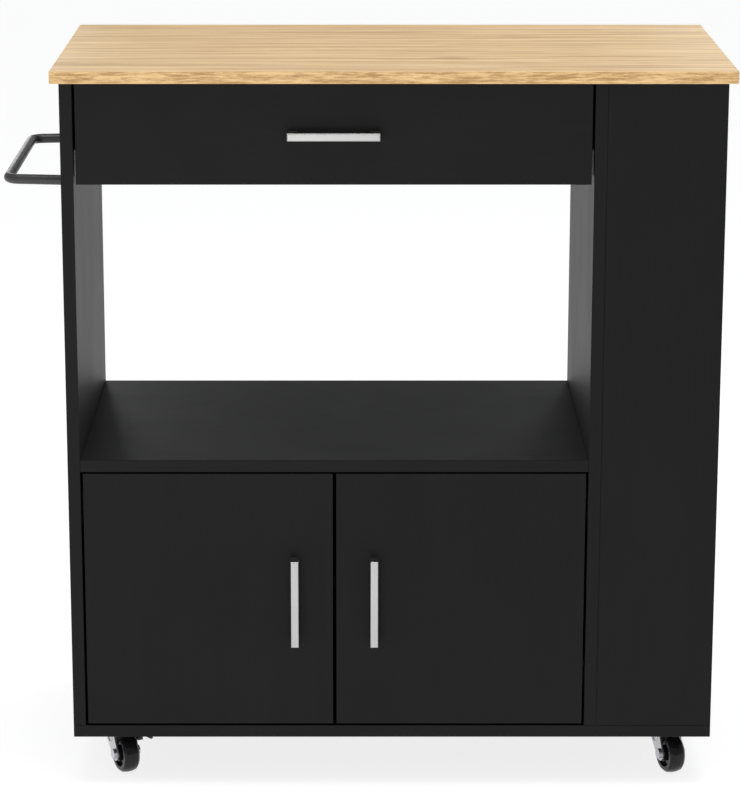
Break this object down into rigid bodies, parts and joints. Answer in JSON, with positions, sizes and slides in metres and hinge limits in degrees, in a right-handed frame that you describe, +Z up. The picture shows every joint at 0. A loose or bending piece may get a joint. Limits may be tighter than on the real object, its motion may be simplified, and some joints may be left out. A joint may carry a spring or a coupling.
{
  "type": "kitchen island cart",
  "caption": "Rolling kitchen cart with a wooden worktop, drawer, open bay, two-door cupboard, side rack and towel bar on swivel castors.",
  "frame": {"origin": "on the floor under the centre of the cart's box, towel bar and handles included", "axes": "+Z up, the drawer and doors face -Y, the towel bar is on the -X side and the rack opens to +X"},
  "size_m": [0.864, 0.41, 0.887],
  "materials": {
    "oak_laminate": "matte oak-effect laminate",
    "charcoal_board": "matte melamine foil",
    "satin_nickel": "satin",
    "black_steel": "satin black powder coat",
    "zinc_steel": "zinc plated",
    "nickel_hinge": "nickel plated",
    "coated_runner": "white epoxy coat",
    "beech_dowel": "raw fluted beech",
    "roller_plastic": "moulded",
    "black_wheel": "moulded gloss",
    "black_pedal": "moulded matt"
  },
  "bodies": {
    "carcass": {"worktop": "oak_laminate", "side_panel_left": "charcoal_board", "divider_panel": "charcoal_board", "rack_front_panel": "charcoal_board", "rack_rear_panel": "charcoal_board", "bottom_panel": "charcoal_board", "bay_shelf": "charcoal_board", "cabinet_back_panel": "charcoal_board", "rear_top_rail": "charcoal_board", "rack_shelf_lower": "charcoal_board", "rack_shelf_upper": "charcoal_board", "rack_guard_rails": "black_steel", "cabinet_shelf": "charcoal_board", "shelf_pins": "zinc_steel", "runner_fixed_left": "coated_runner", "runner_fixed_right": "coated_runner", "towel_bar": "black_steel", "towel_bar_bolts": "zinc_steel", "hinge_arms": "nickel_hinge", "wood_screws": "zinc_steel", "cam_locks": "zinc_steel", "cam_bolts": "zinc_steel", "dowels": "beech_dowel", "caster_plates": "zinc_steel"},
    "front_rollers": {"front_rollers": "roller_plastic"},
    "drawer": {"drawer_front": "charcoal_board", "drawer_side_left": "charcoal_board", "drawer_side_right": "charcoal_board", "drawer_back": "charcoal_board", "drawer_bottom": "charcoal_board", "drawer_handle": "satin_nickel", "drawer_handle_screws": "zinc_steel", "runner_drawer_left": "coated_runner", "runner_drawer_right": "coated_runner", "drawer_screws": "zinc_steel"},
    "rear_rollers": {"rear_rollers": "roller_plastic"},
    "hinge_links_left": {"hinge_links_left": "nickel_hinge"},
    "door_left": {"door_left": "charcoal_board", "door_handle_left": "satin_nickel", "door_handle_screws_left": "zinc_steel", "hinge_cups_left": "nickel_hinge"},
    "hinge_links_right": {"hinge_links_right": "nickel_hinge"},
    "door_right": {"door_right": "charcoal_board", "door_handle_right": "satin_nickel", "door_handle_screws_right": "zinc_steel", "hinge_cups_right": "nickel_hinge"},
    "caster_front_left_swivel": {"caster_front_left_fork": "zinc_steel", "caster_front_left_axle": "zinc_steel"},
    "caster_front_left_wheel": {"caster_front_left_wheel": "black_wheel"},
    "caster_front_left_brake": {"caster_front_left_brake": "black_pedal"},
    "caster_front_right_swivel": {"caster_front_right_fork": "zinc_steel", "caster_front_right_axle": "zinc_steel"},
    "caster_front_right_wheel": {"caster_front_right_wheel": "black_wheel"},
    "caster_rear_left_swivel": {"caster_rear_left_fork": "zinc_steel", "caster_rear_left_axle": "zinc_steel"},
    "caster_rear_left_wheel": {"caster_rear_left_wheel": "black_wheel"},
    "caster_rear_right_swivel": {"caster_rear_right_fork": "zinc_steel", "caster_rear_right_axle": "zinc_steel"},
    "caster_rear_right_wheel": {"caster_rear_right_wheel": "black_wheel"},
    "caster_rear_right_brake": {"caster_rear_right_brake": "black_pedal"}
  },
  "joints": [
    {"name": "drawer_slide", "type": "slide", "parent": "carcass", "child": "drawer", "axis": [0, -1, 0], "range_m": [0, 0.245]},
    {"name": "front_roller_turn", "type": "hinge", "parent": "carcass", "child": "front_rollers", "pos_m": [-0.038, -0.156, 0.7731], "axis": [1, 0, 0], "range_deg": [0, 1410]},
    {"name": "rear_roller_turn", "type": "hinge", "parent": "drawer", "child": "rear_rollers", "pos_m": [-0.038, 0.12, 0.7705], "axis": [1, 0, 0], "range_deg": [0, 1410]},
    {"name": "hinge_link_left_swing", "type": "hinge", "parent": "carcass", "child": "hinge_links_left", "pos_m": [-0.3165, -0.156, 0.23975], "axis": [0, 0, 1], "range_deg": [0, 38]},
    {"name": "door_left_swing", "type": "hinge", "parent": "hinge_links_left", "child": "door_left", "pos_m": [-0.329, -0.174, 0.23975], "axis": [0, 0, -1], "range_deg": [0, 133]},
    {"name": "hinge_link_right_swing", "type": "hinge", "parent": "carcass", "child": "hinge_links_right", "pos_m": [0.2405, -0.156, 0.23975], "axis": [0, 0, -1], "range_deg": [0, 38]},
    {"name": "door_right_swing", "type": "hinge", "parent": "hinge_links_right", "child": "door_right", "pos_m": [0.253, -0.174, 0.23975], "axis": [0, 0, 1], "range_deg": [0, 133]},
    {"name": "caster_front_left_swivel_turn", "type": "hinge", "parent": "carcass", "child": "caster_front_left_swivel", "pos_m": [-0.308, -0.12, 0.055], "axis": [0, 0, 1], "continuous": true},
    {"name": "caster_front_left_wheel_roll", "type": "hinge", "parent": "caster_front_left_swivel", "child": "caster_front_left_wheel", "pos_m": [-0.29892, -0.13782, 0.025], "axis": [0.891, 0.454, 0], "continuous": true},
    {"name": "caster_front_left_brake_press", "type": "hinge", "parent": "caster_front_left_swivel", "child": "caster_front_left_brake", "pos_m": [-0.28199, -0.12919, 0.049], "axis": [-0.454, 0.891, 0], "range_deg": [0, 18]},
    {"name": "caster_front_right_swivel_turn", "type": "hinge", "parent": "carcass", "child": "caster_front_right_swivel", "pos_m": [0.372, -0.12, 0.055], "axis": [0, 0, 1], "continuous": true},
    {"name": "caster_front_right_wheel_roll", "type": "hinge", "parent": "caster_front_right_swivel", "child": "caster_front_right_wheel", "pos_m": [0.37884, -0.13879, 0.025], "axis": [0.9397, 0.342, 0], "continuous": true},
    {"name": "caster_rear_left_swivel_turn", "type": "hinge", "parent": "carcass", "child": "caster_rear_left_swivel", "pos_m": [-0.308, 0.13, 0.055], "axis": [0, 0, 1], "continuous": true},
    {"name": "caster_rear_left_wheel_roll", "type": "hinge", "parent": "caster_rear_left_swivel", "child": "caster_rear_left_wheel", "pos_m": [-0.30116, 0.11121, 0.025], "axis": [0.9397, 0.342, 0], "continuous": true},
    {"name": "caster_rear_right_swivel_turn", "type": "hinge", "parent": "carcass", "child": "caster_rear_right_swivel", "pos_m": [0.372, 0.13, 0.055], "axis": [0, 0, 1], "continuous": true},
    {"name": "caster_rear_right_wheel_roll", "type": "hinge", "parent": "caster_rear_right_swivel", "child": "caster_rear_right_wheel", "pos_m": [0.37884, 0.11121, 0.025], "axis": [0.9397, 0.342, 0], "continuous": true},
    {"name": "caster_rear_right_brake_press", "type": "hinge", "parent": "caster_rear_right_swivel", "child": "caster_rear_right_brake", "pos_m": [0.3967, 0.11771, 0.049], "axis": [-0.342, 0.9397, 0], "range_deg": [0, 18]}
  ],
  "couplings": [
    {"joint": "front_roller_turn", "follows": "drawer_slide", "rad_per_m": 100},
    {"joint": "rear_roller_turn", "follows": "drawer_slide", "rad_per_m": 100},
    {"joint": "hinge_link_left_swing", "follows": "door_left_swing", "ratio": 0.28571},
    {"joint": "hinge_link_right_swing", "follows": "door_right_swing", "ratio": 0.28571}
  ]
}
